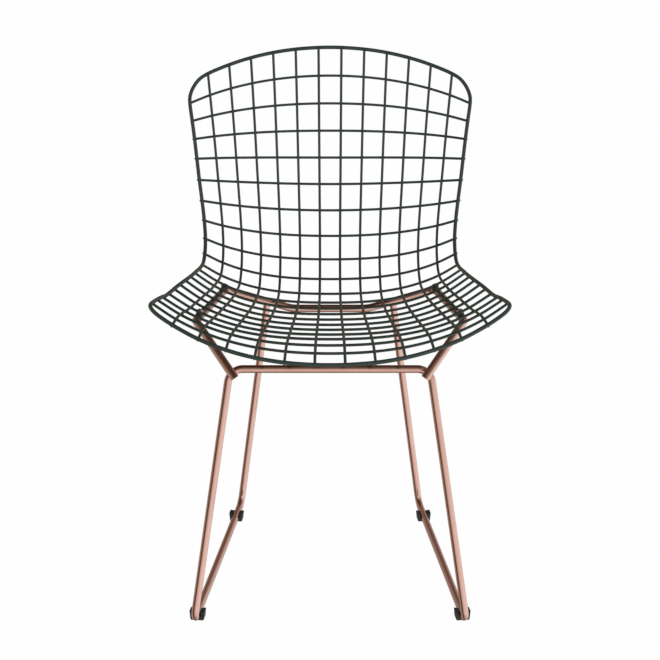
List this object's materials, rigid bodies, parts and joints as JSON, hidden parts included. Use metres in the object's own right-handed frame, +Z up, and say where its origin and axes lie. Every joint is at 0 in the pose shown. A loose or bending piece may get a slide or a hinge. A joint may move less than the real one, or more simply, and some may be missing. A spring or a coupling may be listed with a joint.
{
  "type": "wire mesh chair",
  "caption": "Side chair with a one-piece seat and back of crossed welded steel wires in a round edge rod, on a bent rod base with cradle rails.",
  "frame": {"origin": "on the floor, under the middle of the chair's bounding box", "axes": "+Z up, +Y from the front edge of the seat to the back, +X from the left to the right of the picture"},
  "size_m": [0.5234, 0.5878, 0.7723],
  "materials": {
    "green_powder_coat": "satin",
    "copper_plate": "polished",
    "zinc_plate": "satin",
    "black_plastic": "matte"
  },
  "bodies": {
    "root": {"base_rod": "copper_plate", "cradle_rod": "copper_plate", "glide_front_left": "black_plastic", "glide_front_right": "black_plastic", "glide_rear_left": "black_plastic", "glide_rear_right": "black_plastic", "mount_bar_left": "green_powder_coat", "mount_bar_right": "green_powder_coat", "mount_bolts": "zinc_plate", "rim": "green_powder_coat", "saddle_spacers": "black_plastic", "wire_across_01": "green_powder_coat", "wire_across_02": "green_powder_coat", "wire_across_03": "green_powder_coat", "wire_across_04": "green_powder_coat", "wire_across_05": "green_powder_coat", "wire_across_06": "green_powder_coat", "wire_across_07": "green_powder_coat", "wire_across_08": "green_powder_coat", "wire_across_09": "green_powder_coat", "wire_across_10": "green_powder_coat", "wire_across_11": "green_powder_coat", "wire_across_12": "green_powder_coat", "wire_across_13": "green_powder_coat", "wire_across_14": "green_powder_coat", "wire_across_15": "green_powder_coat", "wire_across_16": "green_powder_coat", "wire_across_17": "green_powder_coat", "wire_across_18": "green_powder_coat", "wire_across_19": "green_powder_coat", "wire_across_20": "green_powder_coat", "wire_along_01": "green_powder_coat", "wire_along_02": "green_powder_coat", "wire_along_03": "green_powder_coat", "wire_along_04": "green_powder_coat", "wire_along_05": "green_powder_coat", "wire_along_06": "green_powder_coat", "wire_along_07": "green_powder_coat", "wire_along_08": "green_powder_coat", "wire_along_09": "green_powder_coat", "wire_along_10": "green_powder_coat", "wire_along_11": "green_powder_coat", "wire_along_12": "green_powder_coat"}
  },
  "joints": []
}
